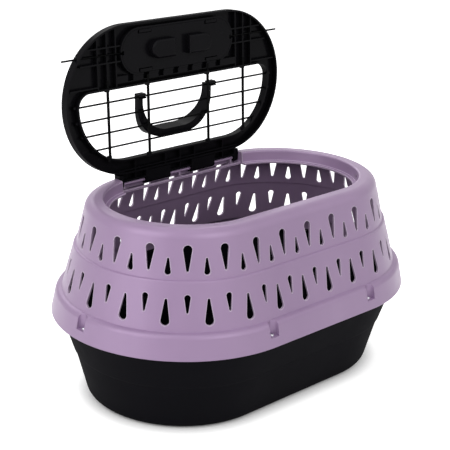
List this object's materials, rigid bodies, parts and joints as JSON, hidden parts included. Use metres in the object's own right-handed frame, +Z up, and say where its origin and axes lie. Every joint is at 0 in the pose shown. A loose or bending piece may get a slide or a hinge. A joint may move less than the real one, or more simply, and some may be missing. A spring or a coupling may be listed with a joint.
{
  "type": "top-load cat carrier",
  "caption": "Top-load cat carrier with a black tub, a slotted purple top shell, a hinged wire-grille lid with sprung latch rods and a folding handle.",
  "frame": {"origin": "on the floor, under the middle of the tub", "axes": "+X along the carrier's length, +Y towards the lid's hinge, +Z up; the lid stands open"},
  "size_m": [0.4956, 0.3244, 0.4431],
  "materials": {
    "shell_purple": "satin pearl mauve",
    "tub_black": "satin black",
    "lid_black": "semi-gloss black",
    "wire_black": "gloss black coated steel wire",
    "screw_steel": "zinc plated",
    "spring_steel": "bright spring wire"
  },
  "bodies": {
    "carrier": {"base_tub": "tub_black", "top_shell": "shell_purple", "shell_screws": "screw_steel"},
    "lid": {"lid_frame": "lid_black", "latch_cover": "lid_black", "handle_pivot_wire": "wire_black", "latch_spring_left": "spring_steel", "latch_spring_right": "spring_steel", "grille_upright_1": "wire_black", "grille_upright_2": "wire_black", "grille_upright_3": "wire_black", "grille_upright_4": "wire_black", "grille_long_wire_1": "wire_black", "grille_long_wire_2": "wire_black", "grille_long_wire_3": "wire_black"},
    "handle": {"carry_handle": "lid_black"},
    "latch_left": {"latch_slide_left": "lid_black", "latch_rod_left": "wire_black"},
    "latch_right": {"latch_slide_right": "lid_black", "latch_rod_right": "wire_black"}
  },
  "joints": [
    {"name": "lid_hinge", "type": "hinge", "parent": "carrier", "child": "lid", "pos_m": [0, 0.1072, 0.24185], "axis": [1, 0, 0], "range_deg": [0, 92.96]},
    {"name": "handle_pivot", "type": "hinge", "parent": "lid", "child": "handle", "pos_m": [0, 0.11275, 0.34921], "axis": [1, 0, 0], "range_deg": [0, 100]},
    {"name": "latch_slide_left", "type": "slide", "parent": "lid", "child": "latch_left", "axis": [1, 0, 0], "range_m": [0, 0.02], "stiffness_N_per_m": 120, "springref_m": -0.02, "deforming": ["latch_spring_left"]},
    {"name": "latch_slide_right", "type": "slide", "parent": "lid", "child": "latch_right", "axis": [-1, 0, 0], "range_m": [0, 0.02], "stiffness_N_per_m": 120, "springref_m": -0.02, "deforming": ["latch_spring_right"]}
  ]
}
